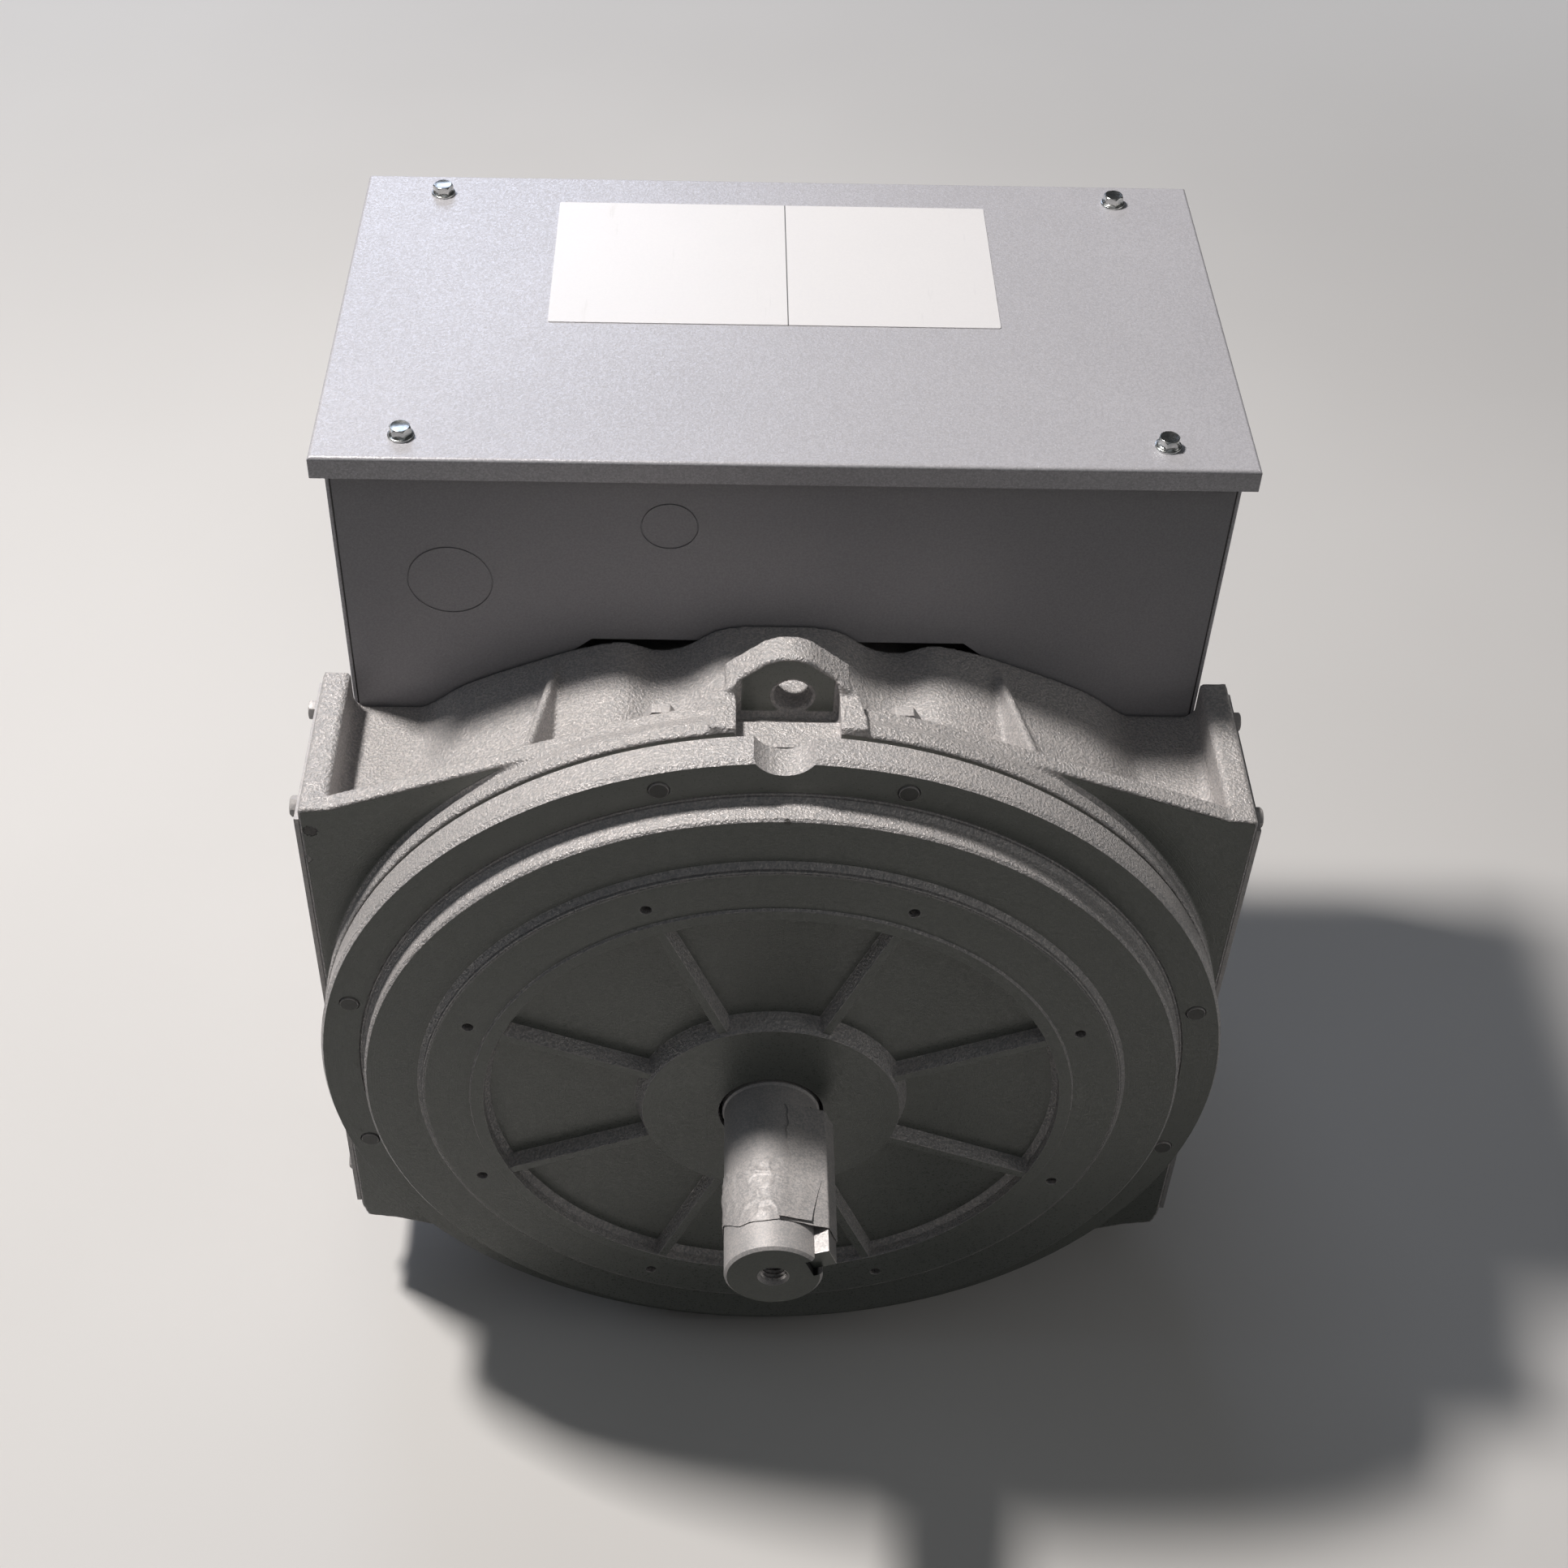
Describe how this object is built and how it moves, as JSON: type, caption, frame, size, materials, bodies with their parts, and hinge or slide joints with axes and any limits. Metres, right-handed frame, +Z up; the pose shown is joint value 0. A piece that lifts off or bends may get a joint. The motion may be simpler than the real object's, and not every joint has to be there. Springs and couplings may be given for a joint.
{
  "type": "marine alternator",
  "caption": "Marine alternator with a round adaptor ring and keyed shaft at its drive end, a cast bracket, a barrel frame on two feet and a sheet terminal box on top.",
  "frame": {"origin": "on the floor, under the shaft's axis, at the middle of the four foot holes", "axes": "+X across the machine to the right as seen from the drive end, +Y along the shaft away from the drive end, +Z up"},
  "size_m": [0.508, 0.6891, 0.5762],
  "materials": {
    "cast_paint": "silver-grey metallic paint over a sandy casting",
    "sheet_paint": "silver-grey hammered paint over sheet steel",
    "shaft_paint": "silver-grey overspray on a turned shaft",
    "zinc": "bright zinc plate",
    "bearing_steel": "ground steel",
    "key_steel": "bright drawn steel, half overpainted",
    "core_steel": "stacked steel sheets under varnish",
    "winding_varnish": "red-brown insulating varnish over laced coils",
    "fan_metal": "as-cast aluminium",
    "tape_paint": "creased paper tape under silver paint",
    "label_vinyl": "white glossy film"
  },
  "bodies": {
    "machine": {"adaptor_ring": "cast_paint", "adaptor_bolts": "cast_paint", "drive_end_bracket": "cast_paint", "end_shield": "cast_paint", "drive_end_bearing": "bearing_steel", "side_cover_right": "sheet_paint", "side_cover_left": "sheet_paint", "cover_screws_right": "zinc", "cover_screws_left": "zinc", "stator_frame": "sheet_paint", "stator_core": "core_steel", "drive_end_windings": "winding_varnish", "tail_end_windings": "winding_varnish", "foot_right": "sheet_paint", "foot_left": "sheet_paint", "tail_bracket": "cast_paint", "tail_bearing": "bearing_steel", "inlet_cover": "sheet_paint", "inlet_grille": "sheet_paint", "inlet_cover_screws": "zinc", "box_floor_right": "sheet_paint", "box_floor_left": "sheet_paint", "box_front_panel": "sheet_paint", "box_rear_panel": "sheet_paint", "box_side_right": "sheet_paint", "box_side_left": "sheet_paint", "box_lid": "sheet_paint", "lid_bolts": "zinc", "lid_label": "label_vinyl"},
    "rotor": {"shaft": "shaft_paint", "shaft_key": "key_steel", "masking_tape": "tape_paint", "cooling_fan": "fan_metal", "rotor_core": "core_steel"}
  },
  "joints": [
    {"name": "rotor_spin", "type": "hinge", "parent": "machine", "child": "rotor", "pos_m": [0, 0, 0.25], "axis": [0, 1, 0], "continuous": true}
  ]
}
